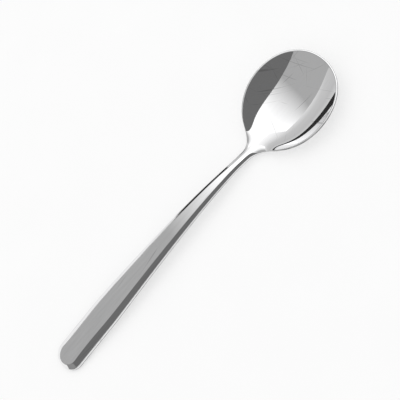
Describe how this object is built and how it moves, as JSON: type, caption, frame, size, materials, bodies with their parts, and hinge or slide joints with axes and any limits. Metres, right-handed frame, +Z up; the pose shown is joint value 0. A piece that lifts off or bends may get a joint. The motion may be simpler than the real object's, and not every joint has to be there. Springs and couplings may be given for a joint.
{
  "type": "long-handled spoon",
  "caption": "Mirror-polished steel table spoon with an egg-shaped bowl, narrow neck and a long hollow handle that widens to a thick, bevelled, rounded end.",
  "frame": {"origin": "centre of the spoon's footprint on the table, at table height, with the spoon lying on the underside of its bowl and of its handle end", "axes": "+X from the handle end to the tip of the bowl, +Y to the left, +Z up out of the open bowl"},
  "size_m": [0.19, 0.0442, 0.0107],
  "materials": {
    "bowl_steel": "mirror-polished stainless steel",
    "handle_steel": "polished stainless steel with faint lengthwise polishing marks",
    "bedding": "set filler, never seen"
  },
  "bodies": {
    "root": {"bowl_and_tang": "bowl_steel", "handle_upper_shell": "handle_steel", "handle_lower_shell": "handle_steel", "tang_bedding": "bedding"}
  },
  "joints": []
}
